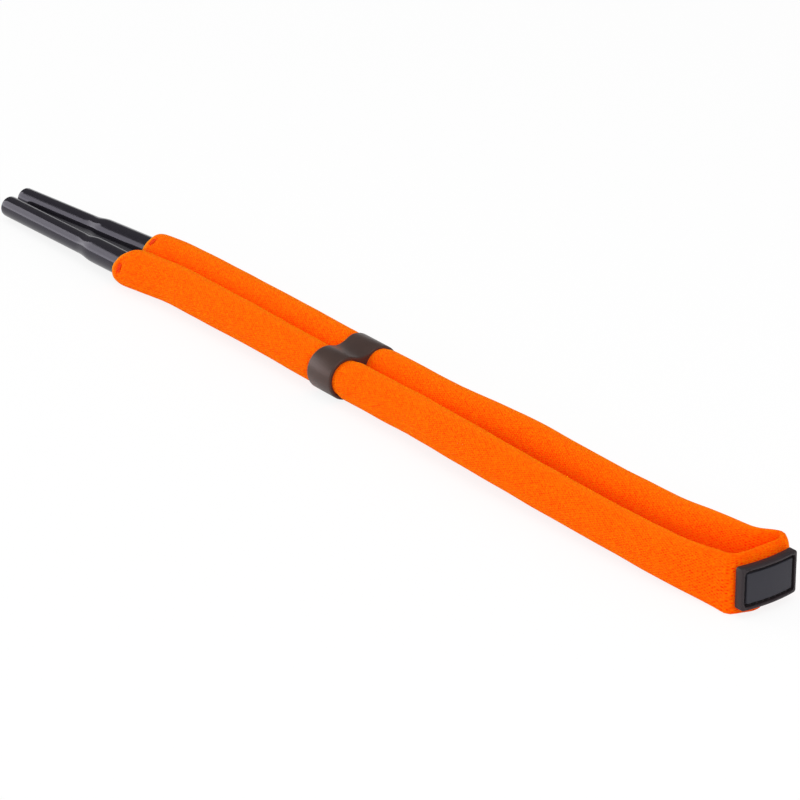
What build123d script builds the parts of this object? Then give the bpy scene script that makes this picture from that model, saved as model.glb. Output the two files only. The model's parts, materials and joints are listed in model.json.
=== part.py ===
"""Floating eyewear retainer, folded in a U and lying on a flat surface.

A knitted tube holds two foam rods and is folded back on itself. The bend is pressed flat,
stands on edge and carries a moulded label. A moulded slider with two holes runs along both
arms, and each arm ends in a soft rubber tube that grips the temple of a pair of glasses.

X runs along the arms with the bend at +X, Y runs from the front arm to the rear arm, and
Z is up from the surface. Distances called "back" are measured from the outer face of the
bend towards the tubes. All sizes are in millimetres.
"""

import os
from math import atan2, cos, degrees, radians, sin, sqrt

from build123d import *

# Knitted sleeve
sleeve_od = 11.0          # outer diameter where the sleeve lies free and round
lane_od = 9.8             # the same where the slider squeezes it
end_od = 10.6             # the same at the free ends
knit_wall = 0.7           # thickness of the knit
band_thick = 5.4          # the sleeve pressed flat at the bend
soft_gap = 0.1            # foam to knit

# Lie of the two arms
lane_back = 125.0         # the arms are straight and slim from here ...
hinge_back = 240.0        # ... to here, where the free ends can swing out
lane_shift = -0.05        # of the straight stretch from the origin, along Y
spread_pitch = 14.3       # between the arms' centres once they have spread
spread_length = 36.0      # over which they spread and fill out again
bend_pitch = 15.8         # between the arms' centres where the bend starts
bend_shift = 1.1          # of the bend from the straight stretch, along Y
bend_back = 13.0          # where the bend starts
corner_radius = 3.0       # of the bend's corners, at mid thickness
bow_radius = 36.0         # of the bowed face that carries the label
flatten_power = 2.5       # how late the sleeve flattens towards the bend
splay_power = 4           # how late the arms splay towards the bend

# Free ends
split_gap = 0.3           # between a free end and its arm, at the flex line
front_arm = 262.0         # back to the end of the front sleeve
rear_arm = 268.0          # back to the end of the rear sleeve
front_drift = -2.0        # of the front sleeve's end along Y
rear_drift = -1.8         # of the rear sleeve's end along Y
fill_length = 9.0         # over which the sleeve fills out past the flex line
end_taper = 6.0           # length over which a sleeve closes on its tube

# Rubber tubes
grip_od = 5.9             # narrow part, which grips the temple
socket_od = 7.4           # wide part, stretched over the core
tube_wall = 1.05
grip_length = 41.0
tip_lift = 0.7            # of the tubes' tips off the surface
step_length = 4.0
waist_depth = 0.15        # the rubber necks in just before the step
front_socket = 21.0       # wide part seen outside the front sleeve, with the step
rear_socket = 17.0        # the same at the rear
tube_seat = 6.0           # of the tube inside the sleeve
lip_gap = 0.12            # sleeve lip to tube
front_tip_drift = 0.0     # of the front tube's tip along Y, from its sleeve's end
rear_tip_drift = -4.0     # of the rear tube's tip along Y, from its sleeve's end
tip_round = 0.4

# Core rods that join the tubes to the foam
core_gap = 0.05           # core to tube
core_reach = 12.0         # of the core into the foam, past the tube
core_round = 1.2
foam_end_back = 34.0      # where a foam rod ends before the bend

# Tack stitches
thread = 0.5
tack_length = 2.0
tack_back = 2.5           # from the sleeve's end
tack_lift = 0.1
front_tack_angle = 125.0  # round the sleeve, from +Y towards +Z
rear_tack_angle = 100.0

# Slider
slider_back = 159.5
slider_length = 10.6
slider_wall = 1.1
slider_web = 1.1          # between the two holes
slider_gap = 0.15         # hole to squeezed sleeve
saddle_radius = 8.0
slider_round = 0.45

# Label
label_length = 17.6
label_height = 10.9
label_thick = 2.4
label_corner = 1.2
label_shift = 0.8         # of the label from the middle of the bend, along Y
label_seat = 0.05
rim_width = 1.3
pocket_depth = 0.9
groove_width = 0.9
panel_thick = 0.6
rim_round = 0.3
stitch_thread = 0.4
stitch_length = 1.3
stitch_pitch = 2.0
stitch_gap = 0.02         # thread to the groove's floor

# Derived sizes
lane_r = lane_od / 2
grip_r = grip_od / 2
socket_r = socket_od / 2
core_r = socket_r - tube_wall - core_gap
slider_hole_r = lane_r + slider_gap
slider_r = slider_hole_r + slider_wall
lane_pitch = 2 * slider_hole_r + slider_web
lane_z = slider_r
band_height = sqrt(2 * sleeve_od**2 - band_thick**2)
band_z = band_height / 2
lip_r = socket_r + lip_gap + knit_wall
front_tip = front_arm + front_socket + grip_length
rear_tip = rear_arm + rear_socket + grip_length
bend_x = (max(front_tip, rear_tip) - label_seat - label_thick) / 2
bend_y = lane_shift + bend_shift

FRONT = -1
REAR = 1


def arm_station(side, back):
    """Centre, width and height of an arm's section between the slider's lane and the bend."""
    spread = 1 - max(0.0, 1 - (lane_back - back) / spread_length) ** 2
    share = (lane_back - back) / (lane_back - bend_back)
    full = lane_od + (sleeve_od - lane_od) * spread
    width = full - (sleeve_od - band_thick) * share**flatten_power
    height = sqrt(2 * full**2 - width**2)
    pitch = lane_pitch + (spread_pitch - lane_pitch) * spread
    pitch += (bend_pitch - spread_pitch) * share**splay_power
    y = lane_shift + bend_shift * share + side * pitch / 2
    z = lane_z + (band_z - lane_z) * share
    return Vector(bend_x - back, y, z), width, height


def free_station(side, back):
    """Centre and radius of a free end's section, which fills out and closes on the tube."""
    end = front_arm if side == FRONT else rear_arm
    share = (back - hinge_back) / (end - hinge_back)
    filling = 1 - max(0.0, 1 - (back - hinge_back) / fill_length) ** 2
    closing = max(0.0, 1 - (end - back) / end_taper)
    radius = lane_r + (end_od / 2 - lane_r) * filling
    radius -= (radius - lip_r) * closing**2
    if side == FRONT:
        drift = front_drift * (1 - (1 - share) ** 2)
    else:
        drift = rear_drift * share**2
    y = lane_shift + side * lane_pitch / 2 + drift
    z = lane_z + (end_od / 2 - lane_z) * share
    return Vector(bend_x - back, y, z), radius


def across(centre):
    """Plane across the arms: its own x runs up, its own y runs towards the front arm."""
    return Plane(origin=centre, x_dir=(0, 0, 1), z_dir=(1, 0, 0))


def tube_plane(side):
    """Plane at the sleeve's end whose normal runs along the tube to its tip."""
    if side == FRONT:
        end, tip, tip_drift = front_arm, front_tip, front_tip_drift
    else:
        end, tip, tip_drift = rear_arm, rear_tip, rear_tip_drift
    start, _ = free_station(side, end)
    finish = Vector(bend_x - tip, start.Y + tip_drift, grip_r + tip_lift)
    return Plane(origin=start, x_dir=(0, 1, 0), z_dir=finish - start)


def save(piece, name):
    """Label a finished piece and write its STEP file."""
    piece.part.label = name
    export_step(piece.part, f"parts/{name}.step")


os.makedirs("parts", exist_ok=True)

arm_steps = [lane_back + (bend_back - lane_back) * k / 10 for k in range(11)]
foam_inset = knit_wall + soft_gap

# Sleeves and foam rods of the two arms, open at both ends
for side, place in ((FRONT, "front"), (REAR, "rear")):
    lane_start = Vector(bend_x - hinge_back, lane_shift + side * lane_pitch / 2, lane_z)
    lane_length = hinge_back - lane_back
    arm_sections = [arm_station(side, back) for back in arm_steps]

    with BuildPart() as sleeve:
        with BuildSketch(across(lane_start)):
            Circle(lane_r)
        extrude(amount=lane_length)
        for centre, width, height in arm_sections:
            with BuildSketch(across(centre)):
                Ellipse(height / 2, width / 2)
        loft()
        with BuildSketch(across(lane_start)):
            Circle(lane_r - knit_wall)
        extrude(amount=lane_length, mode=Mode.SUBTRACT)
        for centre, width, height in arm_sections:
            with BuildSketch(across(centre)):
                Ellipse(height / 2 - knit_wall, width / 2 - knit_wall)
        loft(mode=Mode.SUBTRACT)
    save(sleeve, f"sleeve_{place}")

    with BuildPart() as foam:
        with BuildSketch(across(lane_start)):
            Circle(lane_r - foam_inset)
        extrude(amount=lane_length)
        for centre, width, height in arm_sections:
            with BuildSketch(across(centre)):
                Ellipse(height / 2 - foam_inset, width / 2 - foam_inset)
        loft()
        foam_end_plane = across((bend_x - foam_end_back, lane_shift, lane_z))
        split(bisect_by=foam_end_plane, keep=Keep.BOTTOM)
    save(foam, f"foam_rod_{place}")

# Bend: the flattened sleeve follows two corners and a bowed face
corner_y = bend_pitch / 2 - corner_radius
bow_x = bend_x - band_thick / 2 - bow_radius
corner_x = bow_x + sqrt((bow_radius - corner_radius) ** 2 - corner_y**2)
bow_angle = degrees(atan2(corner_y, corner_x - bow_x))
bend_start = Vector(bend_x - bend_back, bend_y - bend_pitch / 2, band_z)

with BuildLine(Plane.XY.offset(band_z)) as bend_path:
    Line((bend_start.X, bend_start.Y), (corner_x, bend_start.Y))
    CenterArc((corner_x, bend_y - corner_y), corner_radius, -90, 90 - bow_angle)
    CenterArc((bow_x, bend_y), bow_radius, -bow_angle, 2 * bow_angle)
    CenterArc((corner_x, bend_y + corner_y), corner_radius, bow_angle, 90 - bow_angle)
    Line((corner_x, bend_y + bend_pitch / 2), (bend_start.X, bend_y + bend_pitch / 2))

with BuildPart() as sleeve_bend:
    with BuildSketch(across(bend_start)):
        Ellipse(band_height / 2, band_thick / 2)
    sweep(path=bend_path.wire())
    with BuildSketch(across(bend_start)):
        Ellipse(band_height / 2 - knit_wall, band_thick / 2 - knit_wall)
    sweep(path=bend_path.wire(), mode=Mode.SUBTRACT)
save(sleeve_bend, "sleeve_bend")

# Free ends: sleeve, foam, rubber tube, core rod and tack stitch
for side, place, end, socket in (
    (FRONT, "front", front_arm, front_socket),
    (REAR, "rear", rear_arm, rear_socket),
):
    split_back = hinge_back + split_gap
    free_steps = [split_back + (end - split_back) * k / 7 for k in range(8)]
    free_sections = [free_station(side, back) for back in free_steps]
    axis_plane = tube_plane(side)
    tube_length = socket + grip_length

    with BuildPart() as sleeve_end:
        for centre, radius in free_sections:
            with BuildSketch(across(centre)):
                Circle(radius)
        loft()
        for centre, radius in free_sections:
            with BuildSketch(across(centre)):
                Circle(radius - knit_wall)
        loft(mode=Mode.SUBTRACT)
    save(sleeve_end, f"sleeve_end_{place}")

    with BuildPart() as tube:
        with BuildSketch(Plane(origin=axis_plane.origin, x_dir=axis_plane.z_dir,
                               z_dir=axis_plane.x_dir)):
            with BuildLine():
                step_from = socket - step_length
                outer = Polyline(
                    (-tube_seat, socket_r - tube_wall),
                    (-tube_seat, socket_r),
                    (step_from, socket_r),
                )
                Spline(
                    (step_from, socket_r),
                    (step_from + step_length / 2, (socket_r + grip_r) / 2),
                    (socket, grip_r - waist_depth),
                    (socket + step_length, grip_r),
                    tangents=((1, 0), (1, 0)),
                )
                Polyline(
                    (socket + step_length, grip_r),
                    (tube_length - tip_round, grip_r),
                    (tube_length, grip_r - tip_round),
                    (tube_length, grip_r - tube_wall),
                    (socket, grip_r - tube_wall),
                    (socket - step_length, socket_r - tube_wall),
                    (-tube_seat, socket_r - tube_wall),
                )
            make_face()
        revolve(axis=Axis(axis_plane.origin, axis_plane.z_dir))
    save(tube, f"temple_tube_{place}")

    with BuildPart() as core:
        core_length = tube_seat + core_reach + socket - step_length
        with BuildSketch(axis_plane.offset(-tube_seat - core_reach)):
            Circle(core_r)
        extrude(amount=core_length)
        fillet(core.edges().filter_by(GeomType.CIRCLE), core_round)
    save(core, f"core_rod_{place}")

    with BuildPart() as foam_end:
        for centre, radius in free_sections:
            with BuildSketch(across(centre)):
                Circle(radius - foam_inset)
        loft()
        split(bisect_by=across(axis_plane.origin + Vector(end_taper / 2, 0, 0)), keep=Keep.TOP)
        with BuildSketch(axis_plane.offset(-tube_seat - core_gap)):
            Circle(socket_r + core_gap)
        extrude(amount=tube_seat + end_taper, mode=Mode.SUBTRACT)
        with BuildSketch(axis_plane.offset(-tube_seat - core_reach - core_gap)):
            Circle(core_r + core_gap)
        extrude(amount=core_reach + end_taper, mode=Mode.SUBTRACT)
    save(foam_end, f"foam_end_{place}")

    tack_angle = radians(front_tack_angle if side == FRONT else rear_tack_angle)
    tack_centre, tack_r = free_station(side, end - tack_back)
    reach = tack_r + tack_lift + thread / 2
    outward = Vector(0, cos(tack_angle), sin(tack_angle))
    along = Vector(0, -sin(tack_angle), cos(tack_angle))
    with BuildPart() as tack:
        start = tack_centre + outward * reach - along * (tack_length / 2)
        with BuildSketch(Plane(origin=start, x_dir=(1, 0, 0), z_dir=along)):
            Circle(thread / 2)
        extrude(amount=tack_length)
        fillet(tack.edges().filter_by(GeomType.CIRCLE), thread / 3)
    save(tack, f"tack_{place}")

# Slider: two holes side by side under one saddle-shaped skin
slider_start = Vector(bend_x - slider_back - slider_length / 2, lane_shift, lane_z)
with BuildPart() as slider:
    with BuildSketch(across(slider_start)) as lobes:
        with Locations((0, -lane_pitch / 2), (0, lane_pitch / 2)):
            Circle(slider_r)
        waist = lobes.vertices().sort_by(lambda corner: abs(corner.Y - lane_shift))[:2]
        fillet(waist, saddle_radius)
    extrude(amount=slider_length)
    rims = slider.faces().filter_by(Axis.X).edges()
    fillet(rims, slider_round)
    with BuildSketch(across(slider_start)):
        with Locations((0, -lane_pitch / 2), (0, lane_pitch / 2)):
            Circle(slider_hole_r)
    extrude(amount=slider_length, mode=Mode.SUBTRACT)
save(slider, "slider")

# Label: a bowed base with a raised rim, a panel in its pocket and thread in the groove
label_y = bend_y + label_shift
label_r = bow_radius + band_thick / 2 + label_seat
face_r = label_r + label_thick
pocket_r = face_r - pocket_depth
blank_length = label_thick + label_length


def bowed_plate(length, height, corner, inner_r, outer_r):
    """Rounded plate, centred on the label and bowed about the upright axis of the bend."""
    with BuildPart() as plate:
        with BuildSketch(across((bend_x - blank_length / 2, label_y, band_z))):
            RectangleRounded(height, length, corner)
        extrude(amount=blank_length)
        with BuildSketch(Plane.XY):
            with Locations((bow_x, bend_y)):
                Circle(outer_r)
                Circle(inner_r, mode=Mode.SUBTRACT)
        extrude(amount=2 * band_height, mode=Mode.INTERSECT)
    return plate.part


pocket_length = label_length - 2 * rim_width
pocket_height = label_height - 2 * rim_width
panel_length = pocket_length - 2 * groove_width
panel_height = pocket_height - 2 * groove_width

with BuildPart() as label_base:
    add(bowed_plate(label_length, label_height, label_corner, label_r, face_r))
    add(bowed_plate(pocket_length, pocket_height, rim_round, pocket_r, face_r + 1),
        mode=Mode.SUBTRACT)
save(label_base, "label_base")

with BuildPart() as label_panel:
    add(bowed_plate(panel_length, panel_height, rim_round, pocket_r, pocket_r + panel_thick))
save(label_panel, "label_panel")

# Thread that sews the label on, lying in the groove round the panel
groove_length = panel_length + groove_width
groove_height = panel_height + groove_width
thread_r = pocket_r + stitch_gap + stitch_thread / 2
columns = round(groove_length / stitch_pitch)
rows = round(groove_height / stitch_pitch)


def label_plane(offset, height):
    """Plane on the thread's bowed face: x runs along the label and y runs up."""
    turn = (label_y - bend_y + offset) / thread_r
    point = Vector(bow_x + thread_r * cos(turn), bend_y + thread_r * sin(turn), band_z + height)
    return Plane(origin=point, x_dir=(-sin(turn), cos(turn), 0), z_dir=(cos(turn), sin(turn), 0))


level_places = [
    label_plane(groove_length * ((k + 0.5) / columns - 0.5), edge * groove_height / 2)
    for edge in (-1, 1)
    for k in range(columns)
]
upright_places = [
    label_plane(edge * groove_length / 2, groove_height * ((k + 0.5) / rows - 0.5))
    for edge in (-1, 1)
    for k in range(rows)
]

with BuildPart() as label_stitches:
    with Locations(level_places):
        Cylinder(stitch_thread / 2, stitch_length, rotation=(0, 90, 0))
    with Locations(upright_places):
        Cylinder(stitch_thread / 2, stitch_length, rotation=(90, 0, 0))
save(label_stitches, "label_stitches")
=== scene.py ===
"""Looks of the floating eyewear retainer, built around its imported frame.

The knitted sleeve is two soft halves that meet behind the label. Each half runs from the middle
of the bend along one arm to the free end, where it closes on a rubber tube. All lengths are in
metres, in the frame of the part: X runs along the arms towards the bend, Y from the front arm to
the rear arm, and Z is up from the surface that the strap lies on.
"""

import json
import logging
from collections.abc import Iterable
from dataclasses import dataclass
from enum import Enum
from math import atan2, ceil, cos, exp, hypot, pi, radians, sin, sqrt, tau
from typing import TypeAlias

import bmesh
import bpy
from bmesh.types import BMEdge, BMesh, BMFace, BMVert
from bpy.types import ID, Material, Node, NodeSocket, NodeTree, Object
from mathutils import Matrix, Vector, noise
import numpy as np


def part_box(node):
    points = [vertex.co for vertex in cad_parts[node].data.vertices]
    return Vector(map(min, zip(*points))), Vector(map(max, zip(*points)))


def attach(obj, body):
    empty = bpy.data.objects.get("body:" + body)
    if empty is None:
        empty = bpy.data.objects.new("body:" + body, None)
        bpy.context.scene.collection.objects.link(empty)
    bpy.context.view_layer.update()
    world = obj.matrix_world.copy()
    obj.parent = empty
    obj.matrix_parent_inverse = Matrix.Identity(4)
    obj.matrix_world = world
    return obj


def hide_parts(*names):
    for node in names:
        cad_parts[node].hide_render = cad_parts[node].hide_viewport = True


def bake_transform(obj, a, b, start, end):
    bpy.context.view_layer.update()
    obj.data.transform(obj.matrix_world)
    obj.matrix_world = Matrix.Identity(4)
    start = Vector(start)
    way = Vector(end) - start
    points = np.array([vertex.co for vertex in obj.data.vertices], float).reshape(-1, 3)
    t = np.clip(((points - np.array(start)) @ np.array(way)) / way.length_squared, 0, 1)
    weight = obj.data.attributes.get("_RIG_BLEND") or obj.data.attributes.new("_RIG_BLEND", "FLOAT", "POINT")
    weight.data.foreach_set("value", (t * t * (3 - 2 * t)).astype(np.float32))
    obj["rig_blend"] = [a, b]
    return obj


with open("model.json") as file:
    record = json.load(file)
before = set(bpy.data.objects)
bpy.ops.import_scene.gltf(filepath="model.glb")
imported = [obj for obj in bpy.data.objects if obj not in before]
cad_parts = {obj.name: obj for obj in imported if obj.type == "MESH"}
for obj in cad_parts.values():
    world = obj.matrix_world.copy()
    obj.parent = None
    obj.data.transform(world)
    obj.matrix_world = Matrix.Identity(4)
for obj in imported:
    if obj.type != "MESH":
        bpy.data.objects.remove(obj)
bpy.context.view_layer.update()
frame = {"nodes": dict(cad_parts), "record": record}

Triple: TypeAlias = tuple[float, float, float]
Number: TypeAlias = "Value | float"

MM = 0.001
WHITE = (1.0, 1.0, 1.0)
KNIT_MAP = "knit"
LIP_SHARE = "lip_share"
DRAWN_SHARE = "drawn_share"
TINY = 1e-7  # metres, below which two places count as one
THREAD_SIDES = 12
THREAD_ROUND = 0.65  # of the thread's radius, at the ends of a stitch
THREAD_RIM = 60.0  # degrees, past which an edge of the plain stitch is one of its rims
UP = Vector((0.0, 0.0, 1.0))
LOG = logging.getLogger("retainer")


class Side(Enum):
    """The two arms of the folded strap."""

    FRONT = -1
    REAR = 1

    @property
    def word(self) -> str:
        """The arm's word in the names of its pieces."""
        return self.name.lower()

    def pick(self, pair: tuple[float, float]) -> float:
        """This arm's value, from the front arm's and the rear arm's."""
        return pair[self is Side.REAR]


# ---------------------------------------------------------------- shader building


@dataclass(frozen=True)
class Value:
    """A number socket of a node tree that can be used in Python sums."""

    tree: NodeTree
    socket: NodeSocket

    def math(self, operation: str, *terms: Number) -> "Value":
        """Adds a Math node to this number's tree.

        Args:
            operation: the node's operation.
            terms: its numbers, in the node's order.

        Returns:
            The node's result.
        """
        node = self.tree.nodes.new("ShaderNodeMath")
        node.operation = operation
        for slot, term in zip(node.inputs, terms):
            if isinstance(term, Value):
                self.tree.links.new(term.socket, slot)
            else:
                slot.default_value = term
        return Value(self.tree, node.outputs[0])

    def __add__(self, other: Number) -> "Value":
        """This number plus another."""
        return self.math("ADD", self, other)

    def __sub__(self, other: Number) -> "Value":
        """This number less another."""
        return self.math("SUBTRACT", self, other)

    def __rsub__(self, other: Number) -> "Value":
        """Another number less this one."""
        return self.math("SUBTRACT", other, self)

    def __mul__(self, other: Number) -> "Value":
        """This number times another."""
        return self.math("MULTIPLY", self, other)

    def __truediv__(self, other: Number) -> "Value":
        """This number divided by another."""
        return self.math("DIVIDE", self, other)

    def __pow__(self, other: Number) -> "Value":
        """This number to a power."""
        return self.math("POWER", self, other)

    __radd__ = __add__
    __rmul__ = __mul__

    def cosine(self) -> "Value":
        """The cosine of this number, in radians."""
        return self.math("COSINE", self)

    def ping_pong(self, top: float) -> "Value":
        """This number folded back and forth between 0 and a top."""
        return self.math("PINGPONG", self, top)

    def at_least(self, other: Number) -> "Value":
        """The larger of this number and another."""
        return self.math("MAXIMUM", self, other)

    def at_most(self, other: Number) -> "Value":
        """The smaller of this number and another."""
        return self.math("MINIMUM", self, other)

    def share(self) -> "Value":
        """This number kept between 0 and 1."""
        return self.at_least(0.0).at_most(1.0)


@dataclass
class Nodes:
    """A node tree with short ways to add and feed nodes."""

    tree: NodeTree

    def find(self, kind: str) -> Node:
        """The tree's first node of a type."""
        return next(node for node in self.tree.nodes if node.type == kind)

    def node(self, kind: str, settings: dict | None = None,
             sockets: dict | None = None) -> Node:
        """Adds a node.

        Args:
            kind: the node's type.
            settings: attributes, set before the sockets.
            sockets: values or links, by the input's name or number.

        Returns:
            The new node.
        """
        node = self.tree.nodes.new(kind)
        for name, value in (settings or {}).items():
            setattr(node, name, value)
        for key, value in (sockets or {}).items():
            self.feed(node.inputs[key], value)
        return node

    def feed(self, slot: NodeSocket, value: object) -> None:
        """Sets or links one input.

        Args:
            slot: the input socket.
            value: a number, a colour, a Value or another node's output.
        """
        if isinstance(value, Value):
            value = value.socket
        if isinstance(value, NodeSocket):
            self.tree.links.new(value, slot)
        elif slot.type == "RGBA":
            slot.default_value = (*value, 1.0)
        else:
            slot.default_value = value

    def value(self, socket: NodeSocket) -> Value:
        """An output socket as a number that can be used in sums."""
        return Value(self.tree, socket)

    def rays(self) -> tuple[Value, Value, Value]:
        """Tells the kinds of rays apart.

        Returns:
            Whether a ray is a camera ray, a glossy ray or a transmission ray.
        """
        path = self.node("ShaderNodeLightPath").outputs
        camera, glossy, transmission = (
            self.value(path[f"Is {kind} Ray"]) for kind in ("Camera", "Glossy", "Transmission")
        )
        return camera, glossy, transmission


class Shader(Nodes):
    """A material with a Principled surface."""

    def __init__(self, name: str) -> None:
        """Starts the material.

        Args:
            name: the material's name.
        """
        self.material = bpy.data.materials.new(name)
        self.material.use_nodes = True
        super().__init__(self.material.node_tree)
        self.surface = self.find("BSDF_PRINCIPLED")

    def object_point(self) -> NodeSocket:
        """The point on the piece, in Object coordinates."""
        return self.node("ShaderNodeTexCoord").outputs["Object"]

    def attribute(self, name: str) -> Value:
        """A number that the mesh keeps at its vertices."""
        node = self.node("ShaderNodeAttribute", {"attribute_name": name})
        return self.value(node.outputs["Fac"])

    def speckle(self, scale: float, detail: float = 2.0) -> Value:
        """Adds a noise texture on Object coordinates.

        Args:
            scale: noise cells in a metre.
            detail: finer octaves that are added.

        Returns:
            The noise, about 0.5 on average.
        """
        sockets = {"Vector": self.object_point(), "Scale": scale, "Detail": detail}
        return self.value(self.node("ShaderNodeTexNoise", sockets=sockets).outputs["Fac"])

    def mix(self, factor: Value, first: object, second: object) -> NodeSocket:
        """Mixes two colours.

        Args:
            factor: 0 for the first colour and 1 for the second.
            first: a colour or a colour socket.
            second: a colour or a colour socket.

        Returns:
            The mixed colour.
        """
        node = self.node("ShaderNodeMix", {"data_type": "RGBA", "clamp_factor": True})
        self.feed(node.inputs["Factor"], factor)
        colours = [slot for slot in node.inputs if slot.type == "RGBA"]
        self.feed(colours[0], first)
        self.feed(colours[1], second)
        return next(slot for slot in node.outputs if slot.type == "RGBA")

    def bump(self, height: Value, distance: float, strength: float) -> None:
        """Feeds a height to the surface's normal.

        Args:
            height: the height, 0 to 1.
            distance: what a height of 1 stands for, in metres.
            strength: share of the bump that is used.
        """
        sockets = {"Height": height, "Distance": distance, "Strength": strength}
        node = self.node("ShaderNodeBump", sockets=sockets)
        self.set(Normal=node.outputs["Normal"])

    def set(self, **values: object) -> None:
        """Sets inputs of the surface.

        Args:
            values: value by input name, with _ for each space.
        """
        for name, value in values.items():
            self.feed(self.surface.inputs[name.replace("_", " ")], value)


# ---------------------------------------------------------------- finishes


@dataclass(frozen=True)
class KnitFinish:
    """Fine bird's-eye knit of a bright orange yarn, which carries its own UV map and a painted glow.

    Attributes:
        pit_gain: contrast of the noise that gives some pits between the loops darker painted shade.
        pit_level: is taken off that noise, so that its low places have no painted shade in the pits.
        patch_base: strength of that painted shade where the slow noise is 0; patch_gain adds to it.
        uneven_shade: how much the stitch noise darkens the yarn; fuzz_shade and strand_shade
        say so for the finest noise and, as painted shade, for the gaps between the strands.
        relief: shares of the loops, the strands and the fuzz in the loop's depth.
    """

    name: str = "orange_knit"
    yarn: Triple = (0.8, 0.164, 0.0)
    hollow: Triple = (0.8, 0.018, 0.0)
    edge: Triple = (1.0, 0.4, 0.02)
    # painted glow: emission that keeps the red bright where shade falls, though the yarn is no lamp
    glow: Triple = (1.0, 0.014, 0.0)
    glow_strength: float = 0.22
    sheen: Triple = (1.0, 0.5, 0.0)
    strands: float = 6.0
    strand_lean: float = 1.5
    patch_scale: float = 420.0
    stitch_scale: float = 1500.0
    fuzz_scale: float = 5200.0
    pit_power: float = 2.6
    pit_limit: float = 1.3
    pit_gain: float = 3.4
    pit_level: float = 1.1
    patch_base: float = 0.4
    patch_gain: float = 1.2
    uneven_shade: float = 0.5
    fuzz_shade: float = 0.2
    strand_shade: float = 0.08
    # drawn_shade: painted shade round the dimple and the gathers that the tack draws in
    drawn_shade: float = 0.7
    lip_light: float = 0.9
    relief: Triple = (0.6, 0.16, 0.24)
    loop_depth: float = 0.16 * MM

    def material(self) -> Material:
        """Builds the finish.

        Returns:
            The knit's material.
        """
        shader = Shader(self.name)
        cloth = shader.node("ShaderNodeUVMap", {"uv_map": KNIT_MAP})
        axes = shader.node("ShaderNodeSeparateXYZ", sockets={"Vector": cloth.outputs["UV"]})
        wale, course = (shader.value(axes.outputs[axis]) for axis in "XY")
        loops = 0.5 + 0.5 * (wale * tau).cosine() * (course * tau).cosine()
        zigzag = (wale * 2.0).ping_pong(1.0)
        strands = self.strands * course + self.strand_lean * zigzag
        strands = 0.5 + 0.5 * (tau * strands).cosine()
        scales = self.patch_scale, self.stitch_scale, self.fuzz_scale
        patches, uneven, fuzz = (shader.speckle(scale) for scale in scales)
        lip, drawn = (shader.attribute(name) for name in (LIP_SHARE, DRAWN_SHARE))
        # painted shade in the pits between the loops, stronger where the noise is high
        pit_shade = (self.pit_gain * uneven - self.pit_level).at_least(0.0)
        pit_shade = pit_shade * (self.patch_base + self.patch_gain * patches)
        shade = ((1.0 - loops) ** self.pit_power) * pit_shade.at_most(self.pit_limit)
        shade = shade + self.uneven_shade * (uneven - 0.5) + self.fuzz_shade * fuzz
        # painted shade in the gaps between the strands
        shade = shade + self.strand_shade * (1.0 - strands)
        # painted shade where the tack draws the knit in
        shade = shade + drawn * self.drawn_shade - lip * self.lip_light
        # mixing towards the hollow colour paints the shade above, together with random tone from the noise
        warm = shader.mix(shade.share(), self.yarn, self.hollow)
        warm = shader.mix(lip, warm, self.edge)
        loop_up, strand_up, fuzz_up = self.relief
        height = loops * loop_up + strands * strand_up + fuzz * fuzz_up
        shader.bump(height, self.loop_depth, strength=0.9)
        shader.set(
            Base_Color=warm,
            Roughness=0.82 + 0.12 * fuzz,
            Specular_IOR_Level=0.03,
            Sheen_Weight=0.45,
            Sheen_Roughness=0.35,
            Sheen_Tint=self.sheen,
            Subsurface_Weight=0.35,
            Subsurface_Scale=2.4 * MM,
            Subsurface_Radius=(1.0, 0.22, 0.06),
            # emission: a painted glow that lifts the red where shade falls
            Emission_Color=self.glow,
            Emission_Strength=self.glow_strength,
        )
        return shader.material


@dataclass(frozen=True)
class RubberFinish:
    """Moulded black rubber, from glossy to matt."""

    name: str
    colour: Triple
    roughness: float
    grain: float = 0.02 * MM
    grain_scale: float = 2600.0
    cloud_scale: float = 140.0
    mottle: float = 0.36
    cloud_matt: float = 0.09
    grain_matt: float = 0.05
    specular: float = 0.5
    tint: Triple = WHITE

    def material(self) -> Material:
        """Builds the finish.

        Returns:
            The rubber's material.
        """
        shader = Shader(self.name)
        cloud = shader.speckle(self.cloud_scale, detail=3.0)
        grain = shader.speckle(self.grain_scale)
        paler = tuple(channel * (1.0 + self.mottle) for channel in self.colour)
        matt = self.cloud_matt * (cloud - 0.5)
        shader.bump(grain, self.grain, strength=0.6)
        shader.set(
            Base_Color=shader.mix(cloud, self.colour, paler),
            Roughness=self.roughness + matt + self.grain_matt * (grain - 0.5),
            Specular_IOR_Level=self.specular,
            Specular_Tint=self.tint,
        )
        return shader.material


@dataclass(frozen=True)
class ThreadFinish:
    """Twisted sewing thread."""

    name: str
    colour: Triple
    # emission strength: a painted glow wherever it is above 0
    glow: float = 0.0
    twist_scale: float = 2600.0
    twist_bend: float = 1.5
    twist_depth: float = 0.04 * MM
    shade: float = 0.55

    def material(self) -> Material:
        """Builds the finish.

        Returns:
            The thread's material.
        """
        shader = Shader(self.name)
        wave = shader.node(
            "ShaderNodeTexWave",
            {"wave_type": "BANDS", "bands_direction": "DIAGONAL"},
            {"Vector": shader.object_point(), "Scale": self.twist_scale,
             "Distortion": self.twist_bend},
        )
        twist = shader.value(wave.outputs["Fac"])
        darker = tuple(channel * self.shade for channel in self.colour)
        shader.bump(twist, self.twist_depth, strength=0.7)
        shader.set(
            Base_Color=shader.mix(twist, darker, self.colour),
            Roughness=0.62 + 0.2 * twist,
            Specular_IOR_Level=0.15,
            # emission in the thread's own colour: a painted glow
            Emission_Color=self.colour,
            Emission_Strength=self.glow,
        )
        return shader.material


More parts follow.
